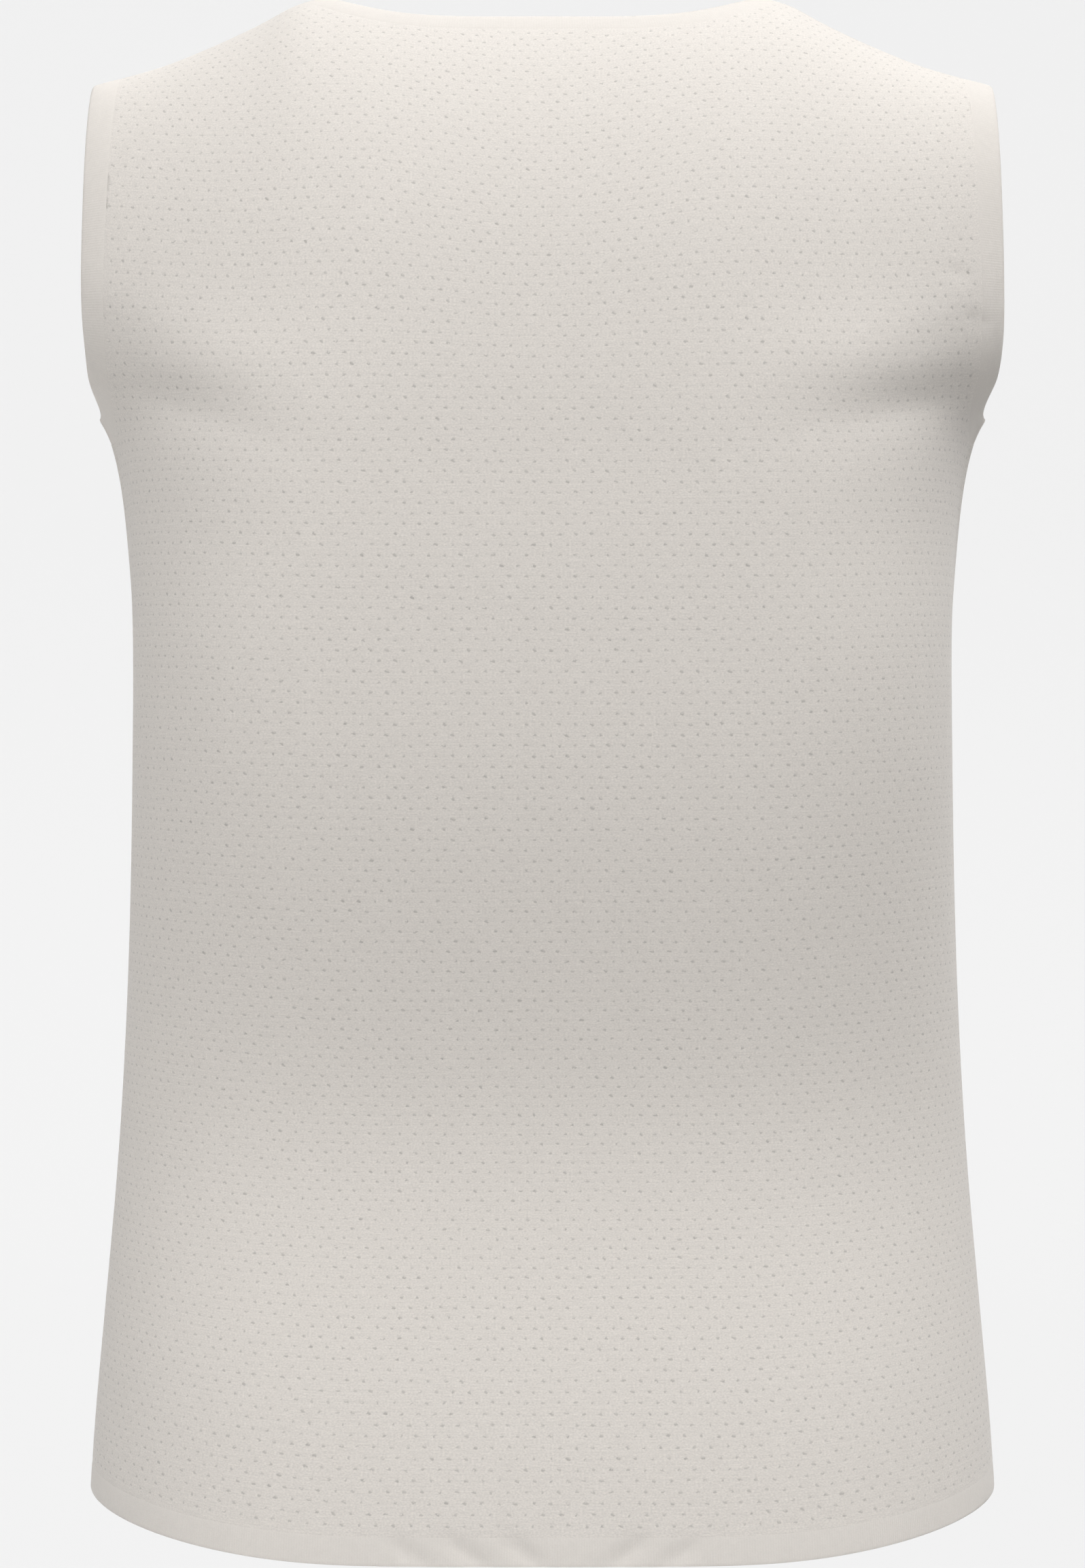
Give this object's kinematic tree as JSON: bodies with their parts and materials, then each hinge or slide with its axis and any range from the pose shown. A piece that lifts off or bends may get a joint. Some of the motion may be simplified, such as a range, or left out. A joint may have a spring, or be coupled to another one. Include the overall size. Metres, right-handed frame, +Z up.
{
  "type": "base layer singlet",
  "caption": "Sleeveless knitted top with a rib-bound neck and armholes and a narrow hem band, filled out and hollow as when worn.",
  "frame": {"origin": "midway between the high points of the shoulders, where the wearer's shoulders carry the garment", "axes": "+Z up towards the neck, +X towards the wearer's left armhole, +Y out of the back panel, -Y out of the front panel"},
  "size_m": [0.3838, 0.2574, 0.6414],
  "materials": {
    "eyelet_knit": "matte off-white knit",
    "rib_binding": "matte off-white rib knit",
    "hem_rib": "matte off-white fine rib knit"
  },
  "bodies": {
    "root": {"back_panel": "eyelet_knit", "front_panel": "eyelet_knit", "neck_binding": "rib_binding", "armhole_binding_left": "rib_binding", "armhole_binding_right": "rib_binding", "hem_band": "hem_rib"}
  },
  "joints": []
}
